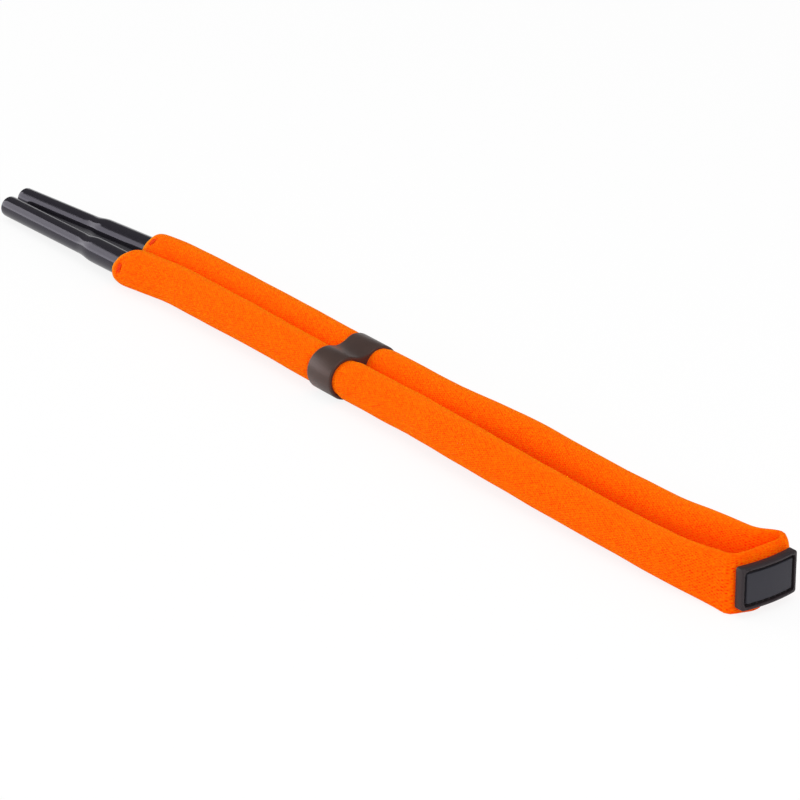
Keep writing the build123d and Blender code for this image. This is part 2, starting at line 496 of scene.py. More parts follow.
@dataclass(frozen=True)
class FoamFinish:
    """Closed-cell foam with fine bubbles."""

    name: str = "pale_foam"
    skin: Triple = (0.82, 0.8, 0.74)
    cell: Triple = (0.62, 0.6, 0.55)
    cell_scale: float = 1800.0
    cell_slope: float = 3.0
    cell_depth: float = 0.12 * MM

    def material(self) -> Material:
        """Builds the finish.

        Returns:
            The foam's material.
        """
        shader = Shader(self.name)
        cells = shader.node(
            "ShaderNodeTexVoronoi",
            {"feature": "DISTANCE_TO_EDGE"},
            {"Vector": shader.object_point(), "Scale": self.cell_scale},
        )
        open_cell = (shader.value(cells.outputs["Distance"]) * self.cell_slope).at_most(1.0)
        shader.bump(1.0 - open_cell, self.cell_depth, strength=0.7)
        shader.set(
            Base_Color=shader.mix(open_cell, self.skin, self.cell),
            Roughness=0.78 + 0.15 * open_cell,
        )
        return shader.material


# ---------------------------------------------------------------- mesh helpers


def add_object(name: str, data: ID) -> Object:
    """Adds an object at the origin.

    Args:
        name: the object's name.
        data: its mesh, light or camera.

    Returns:
        The new object.
    """
    piece = bpy.data.objects.new(name, data)
    bpy.context.scene.collection.objects.link(piece)
    return piece


def sharp_edges(edges: Iterable[BMEdge], limit: float) -> list[BMEdge]:
    """The edges whose two faces turn by more than a limit, in degrees."""
    return [e for e in edges if e.calc_face_angle(0.0) > radians(limit)]


def make_object(name: str, bm: BMesh, material: Material, smooth_angle: float = 60.0) -> Object:
    """Turns a finished bmesh into an object at the origin.

    Args:
        name: the object's name.
        bm: the mesh, which is freed.
        material: its finish.
        smooth_angle: edges that turn by more than this many degrees stay sharp.

    Returns:
        The new object.
    """
    sharp = set(sharp_edges(bm.edges, smooth_angle))
    for face in bm.faces:
        face.smooth = True
    for edge in bm.edges:
        edge.smooth = edge not in sharp
    mesh = bpy.data.meshes.new(name)
    bm.to_mesh(mesh)
    bm.free()
    mesh.materials.append(material)
    return add_object(name, mesh)


def bevel(bm: BMesh, edges: list[BMEdge], size: float, segments: int) -> list[BMVert]:
    """Rounds edges.

    Args:
        bm: the mesh.
        edges: its edges that are rounded.
        size: how far the rounding reaches from the edge.
        segments: the number of faces across it.

    Returns:
        The rounding's points.
    """
    return bmesh.ops.bevel(bm, geom=edges, offset=size, segments=segments, profile=0.5,
                           affect="EDGES", material=-1)["verts"]


def everything(bm: BMesh) -> list:
    """All the points, edges and faces of a mesh, for an operator."""
    return bm.verts[:] + bm.edges[:] + bm.faces[:]


def only_verts(geom: list) -> list[BMVert]:
    """The points among an operator's results."""
    return [part for part in geom if isinstance(part, BMVert)]


def ringed_tube(segments: int, rings: int, capped: bool) -> BMesh:
    """Builds a straight tube along Z, 1 long and 1 in radius, with its middle at the origin.

    Args:
        segments: the number of faces round it.
        rings: the number of faces along it.
        capped: whether its ends are closed.

    Returns:
        The tube.
    """
    bm = bmesh.new()
    bmesh.ops.create_cone(
        bm, cap_ends=capped, segments=segments, radius1=1.0, radius2=1.0, depth=1.0
    )
    long_edges = [e for e in bm.edges if abs(e.verts[0].co.z - e.verts[1].co.z) > 0.5]
    bmesh.ops.subdivide_edges(bm, edges=long_edges, cuts=rings - 1, use_grid_fill=True)
    return bm


def add_thread(bm: BMesh, start: Vector, stop: Vector, radius: float) -> None:
    """Adds one stitch with rounded ends.

    Args:
        bm: the mesh to add to.
        start: one end of the stitch.
        stop: the other end.
        radius: the thread's radius.
    """
    along = stop - start
    turn = UP.rotation_difference(along).to_matrix().to_4x4()
    verts = bmesh.ops.create_cone(
        bm, cap_ends=True, segments=THREAD_SIDES, radius1=radius, radius2=radius,
        depth=along.length, matrix=Matrix.Translation((start + stop) / 2) @ turn,
    )["verts"]
    edges = dict.fromkeys(e for v in verts for e in v.link_edges)
    bevel(bm, sharp_edges(edges, THREAD_RIM), radius * THREAD_ROUND, segments=3)


def ease(share: float) -> float:
    """A smooth step from 0 to 1."""
    share = min(1.0, max(0.0, share))
    return share * share * (3 - 2 * share)


def hump(distance: float, width: float) -> float:
    """A bell of height 1 at distance 0."""
    return exp(-((distance / width) ** 2))


# ---------------------------------------------------------------- sleeve and foam


@dataclass
class Lie:
    """How the folded strap lies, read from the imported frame.

    Attributes:
        slider_back: how far the slider reaches past the frame's on its low side, at the front
            and at the rear arm.
        slider_trim: how much shorter it is on its high side, at the same two places.
    """

    band_thick: float = 5.4 * MM
    bow_radius: float = 36.0 * MM
    corner_radius: float = 3.0 * MM
    slider_back: tuple[float, float] = (1.1 * MM, 3.5 * MM)
    slider_trim: tuple[float, float] = (1.5 * MM, 2.5 * MM)

    def __post_init__(self) -> None:
        """Reads the boxes, joints and mounts of the frame."""
        low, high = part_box("sleeve_bend")
        self.bend_face = high.x
        self.bend_start = low.x
        self.bend_y = (low.y + high.y) / 2
        self.band_height = high.z - low.z
        self.bend_pitch = high.y - low.y - self.band_thick
        low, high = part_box("slider")
        self.slider_low, self.slider_high = low.x, high.x
        self.slider_radius = (high.z - low.z) / 2
        self.lane_pitch = (high.y - low.y) - (high.z - low.z)
        self.lane_y = (low.y + high.y) / 2
        self.lane_z = (low.z + high.z) / 2
        self.flex_x = next(
            j["pos_m"][0] for j in frame["record"]["behaviour"]["joints"] if "pos_m" in j
        )
        self.mounts = {m["name"]: m for m in frame["record"]["mounts"]}
        self.bow_x = self.bend_face - self.band_thick / 2 - self.bow_radius

    def slider_span(self, across: float) -> tuple[float, float]:
        """Where the slider, which sits a little askew, starts and ends along X.

        Args:
            across: the place along Y, from the middle between the arms.

        Returns:
            Its low and its high end.
        """
        share = ease(0.5 + across / self.lane_pitch)
        back, trim = (a + (b - a) * share for a, b in (self.slider_back, self.slider_trim))
        return self.slider_low - back, self.slider_high - trim

    def end_x(self, side: Side) -> float:
        """Where an arm's sleeve ends along X."""
        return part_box(f"sleeve_end_{side.word}")[0].x

    def tube_axis(self, side: Side) -> tuple[Vector, Vector]:
        """The axis of an arm's rubber tube.

        Args:
            side: the arm.

        Returns:
            The centre of the tube's open tip, and the direction out of it.
        """
        mount = self.mounts[f"temple_socket_{side.word}"]
        return Vector(mount["pos_m"]), Vector(mount["axis"])

    def end_centre(self, side: Side) -> Vector:
        """The middle of the sleeve's end, on the tube's axis."""
        tip, out = self.tube_axis(side)
        return tip + out * ((self.end_x(side) - tip.x) / out.x)


@dataclass(frozen=True)
class ArmForm:
    """What differs between the two halves of the sleeve; angles run from the outside over the top.

    Attributes:
        corner_round: outer radius of the bend's corner.
        corner_thin: share of the band's thickness that is left at that corner.
        flare: how far the corner bulges outwards.
        flare_back: where it bulges most, behind the bend's face.
        flare_width: reach of the bulge along X.
        heel_swell: how far the knit bulges out under the label's end.
        end_radius: radius near the free end.
        swing_lead: how far ahead of the joint the arm starts to swing out.
        lip_shift: of the lip from the end in the frame, towards the bend.
        shoulder: length over which the knit closes in to the lip.
        slant: how far the shoulder stands behind the lip.
        slant_angle: where it stands furthest back.
        tack_angle: where the tack stitch gathers the knit.
        tack_back: how far the tack lies behind the lip.
        lifts: heights by which the arm rises off the table, each with its place and reach along X.
    """

    corner_round: float
    corner_thin: float
    flare: float
    flare_back: float
    flare_width: float
    heel_swell: float
    end_radius: float
    swing_lead: float
    lip_shift: float
    shoulder: float
    slant: float
    slant_angle: float
    tack_angle: float
    tack_back: float
    lifts: tuple[Triple, ...]


FORMS = {
    Side.FRONT: ArmForm(
        corner_round=2.2 * MM, corner_thin=1.0, flare=-1.3 * MM, flare_back=0.0,
        flare_width=12.0 * MM, heel_swell=1.5 * MM, end_radius=5.65 * MM, swing_lead=6.0 * MM,
        lip_shift=2.0 * MM, shoulder=3.2 * MM, slant=3.2 * MM, slant_angle=radians(112),
        tack_angle=radians(15), tack_back=3.2 * MM,
        lifts=((0.3 * MM, -38.0 * MM, 24.0 * MM), (0.7 * MM, 58.0 * MM, 26.0 * MM)),
    ),
    Side.REAR: ArmForm(
        corner_round=3.4 * MM, corner_thin=0.7, flare=3.2 * MM, flare_back=5.6 * MM,
        flare_width=4.6 * MM, heel_swell=0.0, end_radius=5.35 * MM, swing_lead=0.0,
        lip_shift=5.0 * MM, shoulder=2.0 * MM, slant=0.8 * MM, slant_angle=radians(50),
        tack_angle=radians(124), tack_back=2.0 * MM,
        lifts=((0.5 * MM, -96.0 * MM, 12.0 * MM), (0.45 * MM, -50.0 * MM, 36.0 * MM),
               (0.45 * MM, 20.0 * MM, 25.0 * MM), (0.7 * MM, 64.0 * MM, 20.0 * MM),
               (0.7 * MM, 138.0 * MM, 12.0 * MM)),
    ),
}


@dataclass
class ArmShape:
    """The soft form of one half of the sleeve, from the bend's middle to the free end.

    Attributes:
        full_radius: radius of the filled sleeve; lip_radius is its radius at the lip.
        slant_run: length behind the lip over which its slant fades.
        slant_power: how narrow the part is that stands furthest back.
        taper_from: where along X the radius starts to change towards the free end's.
        squeeze_radius: the most that the sleeve reaches out inside the slider.
        squeeze_run: length over which it swells again outside the slider.
        squeeze_gap: how far past the slider it stays squeezed.
        lane_back: from the bend's face back to where the arms start to spread.
        spread_pitch: distance between the arms after spread_length.
        splay_power: how late they go on to the distance that they have at the bend.
        flatten_run: length behind the corner over which the flat band becomes round;
            flatten_power says how suddenly.
        band_drop: how much lower the band is than in the frame.
        band_press: share by which it is pressed thinner.
        heel_square: squareness of the heel, the band's lower outer edge just before the corner;
            crown_square is that of the section elsewhere.
        heel_run: reach of the heel along the band, and heel_ahead its distance from the corner.
        swell_run: reach of the heel's swelling along the band; swell_height is the share of the
            height that it takes up.
        dimple: depth of the dimple that the tack draws in, and dimple_width its reach.
        gathers: number of folds at the lip, gather_depth deep, which fade over gather_run.
        tack_squash: what a distance round the sleeve counts for in the dimple, next to one
            along it.
        wander: height of the sleeve's slow unevenness, with wander_scale cells in a metre, which
            grows over wander_run from the slider.
        step: distance between rings, or fine_step over fine_run behind the lip.
        blend_before: how far before the joint the sleeve starts to bend, coming from the
            slider; blend_after is how far past the joint it stops.
    """

    lie: Lie
    side: Side
    full_radius: float = 5.35 * MM
    lip_radius: float = 4.45 * MM
    slant_run: float = 9.0 * MM
    slant_power: float = 1.8
    taper_from: float = -20.0 * MM
    squeeze_radius: float = 4.87 * MM
    squeeze_run: float = 3.2 * MM
    squeeze_gap: float = 0.35 * MM
    lane_back: float = 125.0 * MM
    spread_pitch: float = 14.3 * MM
    spread_length: float = 36.0 * MM
    splay_power: float = 4.0
    flatten_run: float = 18.0 * MM
    flatten_power: float = 1.3
    band_drop: float = 0.1 * MM
    band_press: float = 0.1
    heel_square: float = 10.0
    heel_run: float = 7.5 * MM
    heel_ahead: float = 2.8 * MM
    swell_run: float = 5.0 * MM
    swell_height: float = 0.3
    crown_square: float = 2.35
    dimple: float = 1.3 * MM
    dimple_width: float = 1.5 * MM
    gathers: int = 9
    gather_depth: float = 0.1 * MM
    gather_run: float = 3.5 * MM
    tack_squash: float = 0.8
    wander: float = 0.14 * MM
    wander_scale: float = 95.0
    wander_run: float = 20.0 * MM
    step: float = 0.8 * MM
    fine_step: float = 0.3 * MM
    fine_run: float = 8.0 * MM
    blend_before: float = 11.0 * MM
    blend_after: float = 9.0 * MM

    def __post_init__(self) -> None:
        """Works out where the arm's parts start and how long the bend is."""
        lie = self.lie
        self.form = FORMS[self.side]
        self.corner_y = lie.bend_pitch / 2 - lie.corner_radius
        self.corner_x = lie.bow_x + sqrt(
            (lie.bow_radius - lie.corner_radius) ** 2 - self.corner_y**2
        )
        self.bow_angle = atan2(self.corner_y, self.corner_x - lie.bow_x)
        self.bow_length = lie.bow_radius * self.bow_angle
        self.turn_length = lie.corner_radius * (pi / 2 - self.bow_angle)
        self.turn_end = self.bow_length + self.turn_length
        self.turn_mid = self.bow_length + self.turn_length / 2
        self.heel_at = self.bow_length - self.heel_ahead
        self.lane_end = lie.bend_face - self.lane_back
        self.flare_x = lie.bend_face - self.form.flare_back
        self.slider_span = lie.slider_span(self.side.value * lie.lane_pitch / 2)
        _, out = lie.tube_axis(self.side)
        self.end = lie.end_centre(self.side) - out * self.form.lip_shift
        self.length = self.turn_end + self.corner_x - self.end.x

    def lane_radius(self, x: float) -> float:
        """The sleeve's radius where nothing flattens it."""
        share = min(1.0, max(0.0, (self.taper_from - x) / (self.taper_from - self.end.x)))
        return self.full_radius - (self.full_radius - self.form.end_radius) * share

    def arm_y(self, x: float) -> float:
        """The arm's middle along Y.

        Args:
            x: the place along the arm.

        Returns:
            The middle, in the frame.
        """
        lie = self.lie
        sign = self.side.value
        share = min(1.0, (x - self.lane_end) / (lie.bend_start - self.lane_end))
        if share > 0:
            spread = 1 - max(0.0, 1 - (x - self.lane_end) / self.spread_length) ** 2
            pitch = lie.lane_pitch + (self.spread_pitch - lie.lane_pitch) * spread
            pitch += (lie.bend_pitch - self.spread_pitch) * share**self.splay_power
            return lie.lane_y + (lie.bend_y - lie.lane_y) * share + sign * pitch / 2
        straight = lie.lane_y + sign * lie.lane_pitch / 2
        start = lie.flex_x + self.form.swing_lead
        share = max(0.0, (start - x) / (start - self.end.x))
        swing = ease(share) if self.side is Side.FRONT else share**2
        return straight + (self.end.y - straight) * swing

    def arm_z(self, x: float, half_height: float) -> float:
        """The arm's middle along Z at a place along X.

        Args:
            x: the place along the arm.
            half_height: half the height of the sleeve there.

        Returns:
            The middle, in the frame.
        """
        lie = self.lie
        raised = sum(up * hump(x - at, width) for up, at, width in self.form.lifts)
        share = min(1.0, (x - self.lane_end) / (lie.bend_start - self.lane_end))
        if share > 0:
            return (lie.lane_z - self.full_radius) * (1 - share**3) + half_height + raised
        share = max(0.0, (lie.flex_x - x) / (lie.flex_x - self.end.x))
        return lie.lane_z + (self.end.z - lie.lane_z) * share + raised

    def middle(self, along: float) -> Vector:
        """A point of the sleeve's middle line, level with the floor.

        Args:
            along: distance from the middle of the bend.

        Returns:
            The point.
        """
        lie = self.lie
        sign = self.side.value
        if along < self.bow_length:
            angle = along / lie.bow_radius * sign
            point = Vector((lie.bow_x + lie.bow_radius * cos(angle),
                            lie.bend_y + lie.bow_radius * sin(angle), 0.0))
        elif along < self.turn_end:
            angle = (self.bow_angle + (along - self.bow_length) / lie.corner_radius) * sign
            point = Vector((self.corner_x + lie.corner_radius * cos(angle),
                            lie.bend_y + sign * self.corner_y + lie.corner_radius * sin(angle),
                            0.0))
        else:
            x = self.corner_x - (along - self.turn_end)
            point = Vector((x, self.arm_y(x), 0.0))
        reach = ease((point.y - lie.bend_y) * sign / self.corner_y)
        bulge = self.form.flare * hump(point.x - self.flare_x, self.form.flare_width) * reach
        return point + Vector((0.0, bulge * sign, 0.0))

    def outward(self, along: float) -> Vector:
        """The level direction across the sleeve, towards the outside of the bend.

        Args:
            along: distance from the middle of the bend.

        Returns:
            The direction, of length 1.
        """
        gap = self.step / 4
        run = (self.middle(along + gap) - self.middle(along - gap)).normalized()
        return Vector((run.y, -run.x, 0.0)) * self.side.value

    def corner_reach(self, along: float, half_width: float) -> float:
        """How far the sleeve's outside stands off the middle line, out to the filled corner.

        Args:
            along: distance from the middle of the bend.
            half_width: half the band's thickness.

        Returns:
            The distance.
        """
        share = (along - self.bow_length) / self.turn_length
        if not 0 < share < 1:
            return half_width
        face = self.lie.corner_radius + half_width
        centre = face - self.form.corner_round
        angle = share * pi / 2
        c, s = max(cos(angle), sin(angle)), min(cos(angle), sin(angle))
        if s / c < centre / face:
            return face / c - self.lie.corner_radius
        return (centre * (c + s) + sqrt(self.form.corner_round**2 - (centre * (c - s)) ** 2)
                - self.lie.corner_radius)

    def section(self, along: float, x: float) -> tuple[float, float, float, float]:
        """The section's size.

        Args:
            along: distance from the middle of the bend.
            x: the place along X.

        Returns:
            Reach outwards, reach inwards, half the height, and how flat the sleeve is, 0 to 1.
        """
        full = 2 * self.lane_radius(x)
        past = max(0.0, along - self.turn_end)
        flat = exp(-((past / self.flatten_run) ** self.flatten_power))
        height = full + (self.lie.band_height - self.band_drop - full) * flat
        width = sqrt(2 * full**2 - height**2) * (1 - self.band_press * flat**2)
        corner = hump(along - self.turn_mid, self.turn_length)
        corner *= ease(along / self.bow_length)
        width *= 1 - (1 - self.form.corner_thin) * corner
        outer = self.corner_reach(along, width / 2)
        low, high = self.slider_span
        outside = max(low - x, x - high, self.squeeze_gap) - self.squeeze_gap
        swell = 1 - (1 - min(1.0, outside / self.squeeze_run)) ** 2
        limit = self.squeeze_radius + (self.full_radius - self.squeeze_radius) * swell
        if swell < 1:
            return min(outer, limit), min(width / 2, limit), min(height / 2, limit), flat
        return outer, width / 2, height / 2, flat

    def along_of(self, x: float) -> float:
        """The distance from the middle of the bend to a place along the arm."""
        return self.turn_end + self.corner_x - x

    def blend(self, piece: Object) -> None:
        """Lets a piece bend where the free end swings out.

        Args:
            piece: a piece that runs from the strap into the free end.
        """
        flex = self.lie.flex_x
        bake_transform(piece, "strap", f"end_{self.side.word}",
                 start=(flex + self.blend_before, 0, 0), end=(flex - self.blend_after, 0, 0))

    def stations(self) -> list[float]:
        """Places of the sleeve's rings, closer together near the lip.

        Returns:
            Distances from the middle of the bend.
        """
        fine = self.length - self.fine_run
        coarse = ceil(fine / self.step)
        near = ceil(self.fine_run / self.fine_step)
        return ([fine * k / coarse for k in range(coarse)]
                + [fine + self.fine_run * k / near for k in range(near + 1)])

    def closing(self, left: float, angle: float) -> float:
        """How far the knit is drawn in near the lip by the gathers and the tack.

        Args:
            left: distance to the lip.
            angle: round the sleeve.

        Returns:
            The depth.
        """
        turn = (angle - self.form.tack_angle + pi) % tau - pi
        off = hypot(left - self.form.tack_back, turn * self.form.end_radius * self.tack_squash)
        folds = 0.5 - 0.5 * cos(self.gathers * turn)
        pinch = self.gather_depth * folds * exp(-left / self.gather_run)
        return self.dimple * hump(off, self.dimple_width) + pinch

    def point(self, along: float, angle: float, inset: float = 0.0) -> Vector:
        """A point of the sleeve's surface.

        Args:
            along: distance from the middle of the bend.
            angle: round the sleeve, from the bend's outside over the top.
            inset: how far inside the surface the point lies.

        Returns:
            The point.
        """
        left = self.length - along
        back = self.form.slant * ease(1 - left / self.slant_run)
        place = along - back * (0.5 + 0.5 * cos(angle - self.form.slant_angle))**self.slant_power
        centre = self.middle(place)
        outer, inner, half_height, flat = self.section(place, centre.x)
        if left < self.form.shoulder:
            drop = 1 - sqrt(max(0.0, 1 - (1 - left / self.form.shoulder) ** 2))
            outer -= (outer - self.lip_radius) * drop
            inner -= (inner - self.lip_radius) * drop
            half_height -= (half_height - self.lip_radius) * drop
        centre.z = self.arm_z(centre.x, half_height)
        drawn = inset + self.closing(left, angle)
        c, s = cos(angle), sin(angle)
        square = self.crown_square
        if s < 0 < c:
            square += (self.heel_square - square) * hump(along - self.heel_at, self.heel_run)
        square = 2 + (square - 2) * flat
        reach = (abs(c) ** square + abs(s) ** square) ** (-1 / square)
        across = c * reach * ((outer if c > 0 else inner) - drawn)
        up = s * reach * (half_height - drawn)
        low = ease(1 - (1 + s * reach) / self.swell_height) * max(0.0, c * reach)
        across += self.form.heel_swell * hump(along - self.heel_at, self.swell_run) * low
        out = self.outward(place)
        spot = centre + out * across + Vector((0.0, 0.0, up))
        if not inset:
            free = ease(abs(centre.x - sum(self.slider_span) / 2) / self.wander_run)
            free *= ease(left / self.slant_run)
            away = (out * c + Vector((0.0, 0.0, s))) * self.wander * free
            spot += away * noise.noise(spot * self.wander_scale)
        spot.z = max(spot.z, inset)
        return spot


@dataclass
class TackStitch:
    """A bar tack that gathers the knit near a lip."""

    lie: Lie
    finish: Material
    bars: int = 5
    bar_pitch: float = 0.24 * MM
    thread_r: float = 0.14 * MM
    half_turn: float = radians(14)
    short_bar: float = 0.88
    sunk: float = 0.02 * MM

    def build(self, side: Side) -> Object:
        """Builds one tack and joins it to the frame.

        Args:
            side: the arm.

        Returns:
            The finished tack.
        """
        shape = ArmShape(self.lie, side)
        middle = shape.form.tack_angle
        bm = bmesh.new()
        for k in range(self.bars):
            shift = (k - (self.bars - 1) / 2) * self.bar_pitch
            along = shape.length - shape.form.tack_back + shift
            reach = self.half_turn * (self.short_bar if k % 2 else 1.0)
            start, stop = (shape.point(along, middle + turn, self.sunk - self.thread_r)
                           for turn in (-reach, reach))
            add_thread(bm, start, stop, self.thread_r)
        piece = make_object(f"tack_bar_{side.word}", bm, self.finish)
        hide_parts(f"tack_{side.word}")
        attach(piece, f"end_{side.word}")
        return piece


@dataclass
class KnittedSleeve:
    """The knitted tube, as two closed halves that bend at the free ends."""

    lie: Lie
    finish: Material
    wall: float = 0.7 * MM
    segments: int = 80
    wale: float = 0.62 * MM
    course: float = 1.4 * MM
    lip_width: float = 0.8 * MM
    lip_round: float = 0.36
    at_lip: float = 0.999

    def shell(self, shape: ArmShape) -> BMesh:
        """Builds the outer skin of one half.

        Args:
            shape: the half's form.

        Returns:
            An open skin with its knit map.
        """
        stations = shape.stations()
        rings = len(stations) - 1
        bm = ringed_tube(self.segments, rings, capped=False)
        turns = round(tau * shape.full_radius / self.wale)
        cloth = bm.loops.layers.uv.new(KNIT_MAP)
        for face in bm.faces:
            angles = [atan2(loop.vert.co.y, loop.vert.co.x) for loop in face.loops]
            wraps = max(angles) - min(angles) > pi
            for loop, angle in zip(face.loops, angles):
                share = angle / tau + (1.0 if wraps and angle < 0 else 0.0)
                along = stations[round((loop.vert.co.z + 0.5) * rings)]
                loop[cloth].uv = (share * turns, along / self.course)
        lip = bm.verts.layers.float.new(LIP_SHARE)
        drawn = bm.verts.layers.float.new(DRAWN_SHARE)
        for vert in bm.verts:
            left = shape.length - stations[round((vert.co.z + 0.5) * rings)]
            angle = atan2(vert.co.y, vert.co.x)
            vert[lip] = exp(-left / self.lip_width)
            # this share of the closing feeds the painted shade of the dimple and the gathers in the knit's
            # colour
            vert[drawn] = min(1.0, shape.closing(left, angle) / shape.dimple)
            vert.co = shape.point(shape.length - left, angle)
        bmesh.ops.recalc_face_normals(bm, faces=bm.faces)
        crown = max(bm.faces, key=lambda f: f.calc_center_median().z)
        if crown.normal.z < 0:
            bmesh.ops.reverse_faces(bm, faces=bm.faces)
        return bm

    def build(self, side: Side) -> Object:
        """Builds one half and joins it to the frame.

        Args:
            side: the arm.

        Returns:
            The finished half.
        """
        shape = ArmShape(self.lie, side)
        bm = self.shell(shape)
        bmesh.ops.solidify(bm, geom=bm.faces[:], thickness=self.wall)
        bmesh.ops.recalc_face_normals(bm, faces=bm.faces)
        lip, drawn = (bm.verts.layers.float[name] for name in (LIP_SHARE, DRAWN_SHARE))
        end = {f for f in bm.faces if all(v[lip] > self.at_lip for v in f.verts)}
        rims = [e for e in bm.edges if len(end.intersection(e.link_faces)) == 1]
        for vert in bevel(bm, rims, self.wall * self.lip_round, segments=2):
            vert[lip], vert[drawn] = 1.0, 0.0
        piece = make_object(f"knit_sleeve_{side.word}", bm, self.finish)
        nodes = [f"sleeve_{side.word}", f"sleeve_end_{side.word}"]
        if side is Side.FRONT:
            nodes.append("sleeve_bend")
        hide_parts(*nodes)
        shape.blend(piece)
        return piece


@dataclass
class ArmFoam:
    """The foam rod in one arm, bored at the free end for the tube and its core."""

    lie: Lie
    finish: Material
    inset: float = 0.82 * MM
    segments: int = 40
    step: float = 2.0 * MM
    bend_end: float = 34.0 * MM
    clearance: float = 0.08 * MM
    core_depth: float = 18.1 * MM
    lip_run: float = 4.5 * MM
    edge: float = 0.1 * MM

    def place_ring(self, face: BMFace, centre: Vector, axis: Vector, radius: float) -> None:
        """Moves a face's corners to a circle, each at its own angle.

        Args:
            face: the face.
            centre: the circle's centre.
            axis: the circle's axis.
            radius: the circle's radius.
        """
        side = axis.cross(UP).normalized()
        up = side.cross(axis).normalized()
        middle = face.calc_center_median()
        for vert in face.verts:
            arm = vert.co - middle
            angle = atan2(arm.dot(up), arm.dot(side))
            vert.co = centre + (side * cos(angle) + up * sin(angle)) * radius

    def build(self, side: Side) -> Object:
        """Builds one rod and joins it to the frame.

        Args:
            side: the arm.

        Returns:
            The finished rod.
        """
        lie = self.lie
        shape = ArmShape(lie, side)
        _, out = lie.tube_axis(side)
        end = lie.end_centre(side)
        start = shape.along_of(lie.bend_face - self.bend_end)
        finish = shape.length - self.lip_run
        rings = int((finish - start) / self.step)
        bm = ringed_tube(self.segments, rings, capped=True)
        far = max(bm.faces, key=lambda f: f.calc_center_median().z)
        for vert in bm.verts:
            along = start + (vert.co.z + 0.5) * (finish - start)
            angle = atan2(vert.co.y, vert.co.x)
            vert.co = shape.point(along, angle, self.inset)
        tube_r = TempleTube.socket_r + self.clearance
        core_r = TempleTube.socket_r - TempleTube.wall + self.clearance
        mouth = shape.end - out * self.lip_run
        bmesh.ops.inset_region(bm, faces=[far], thickness=self.edge, use_even_offset=True)
        self.place_ring(far, mouth, out, tube_r)
        for depth, radius in ((TempleTube.seat + self.clearance, tube_r),
                              (TempleTube.seat + self.clearance, core_r),
                              (self.core_depth, core_r)):
            far = bmesh.ops.extrude_discrete_faces(bm, faces=[far])["faces"][0]
            self.place_ring(far, end - out * depth, out, radius)
        bmesh.ops.recalc_face_normals(bm, faces=bm.faces)
        piece = make_object(f"foam_fill_{side.word}", bm, self.finish, smooth_angle=50.0)
        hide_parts(f"foam_rod_{side.word}", f"foam_end_{side.word}")
        shape.blend(piece)
        return piece


@dataclass
class TempleTube:
    """The rubber tube that grips a temple: open tip, step and socket.

    Attributes:
        step_back: from the tip to the wide end of the step, for the front and the rear tube.
        step_run: length of the step, for each of them.
        tip_back: how much shorter the tube is than in the frame, for each of them.
    """

    lie: Lie
    finish: Material
    segments: int = 48
    grip_r: float = 3.08 * MM
    socket_r: float = 3.7 * MM
    wall: float = 1.05 * MM
    seat: float = 11.0 * MM
    ring_pitch: float = 1.5 * MM
    seat_chamfer: float = 0.3 * MM
    tip_round: float = 0.5 * MM
    mouth_round: float = 0.35 * MM
    round_steps: int = 4
    cone_run: float = 4.0 * MM
    step_back: tuple[float, float] = (41.4 * MM, 34.2 * MM)
    step_run: tuple[float, float] = (6.8 * MM, 6.4 * MM)
    tip_back: tuple[float, float] = (1.3 * MM, 0.0)

    def profile(self, side: Side, socket: float, length: float) -> list[tuple[float, float]]:
        """The section of the rubber, as a closed line.

        Args:
            side: the arm, whose tube has its own step.
            socket: from the sleeve's end to where the bore starts.
            length: from the sleeve's end to the tip.

        Returns:
            Distance along the tube from the sleeve's end, and radius.
        """
        points = [(-self.seat, self.socket_r - self.wall),
                  (-self.seat, self.socket_r - self.seat_chamfer),
                  (-self.seat + self.seat_chamfer, self.socket_r)]
        stop, run = length - side.pick(self.step_back), side.pick(self.step_run)
        rim = length - self.tip_round
        count = ceil((rim + self.seat) / self.ring_pitch)
        for k in range(1, count + 1):
            along = rim - (rim + self.seat) * (1 - k / (count + 1))
            share = ease((along - stop) / run + 1)
            points.append((along, self.socket_r + (self.grip_r - self.socket_r) * share))
        mouth_r = self.grip_r - self.wall
        for radius, middle, first in ((self.tip_round, self.grip_r - self.tip_round, 90),
                                      (self.mouth_round, mouth_r + self.mouth_round, 0)):
            for k in range(self.round_steps + 1):
                angle = radians(first - 90 * k / self.round_steps)
                points.append((length - radius + radius * cos(angle),
                               middle + radius * sin(angle)))
        points += [(socket, mouth_r), (socket - self.cone_run, self.socket_r - self.wall)]
        return points

    def build(self, side: Side) -> Object:
        """Builds one tube and joins it to the frame.

        Args:
            side: the arm.

        Returns:
            The finished tube.
        """
        tip, out = self.lie.tube_axis(side)
        end = self.lie.end_centre(side)
        length = (tip - end).length - side.pick(self.tip_back)
        grip = self.lie.mounts[f"temple_socket_{side.word}"]["dims"]["length_mm"] * MM
        bm = bmesh.new()
        verts = [bm.verts.new((along, 0.0, radius))
                 for along, radius in self.profile(side, length - grip, length)]
        edges = [bm.edges.new(pair) for pair in zip(verts, verts[1:] + verts[:1])]
        bmesh.ops.spin(
            bm, geom=verts + edges, cent=(0, 0, 0), axis=(1, 0, 0), angle=tau,
            steps=self.segments, use_merge=True,
        )
        bmesh.ops.remove_doubles(bm, verts=bm.verts, dist=TINY)
        bmesh.ops.recalc_face_normals(bm, faces=bm.faces)
        turn = Vector((1.0, 0.0, 0.0)).rotation_difference(out).to_matrix().to_4x4()
        bmesh.ops.transform(bm, matrix=Matrix.Translation(end) @ turn, verts=bm.verts)
        piece = make_object(f"rubber_tube_{side.word}", bm, self.finish)
        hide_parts(f"temple_tube_{side.word}")
        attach(piece, f"end_{side.word}")
        return piece


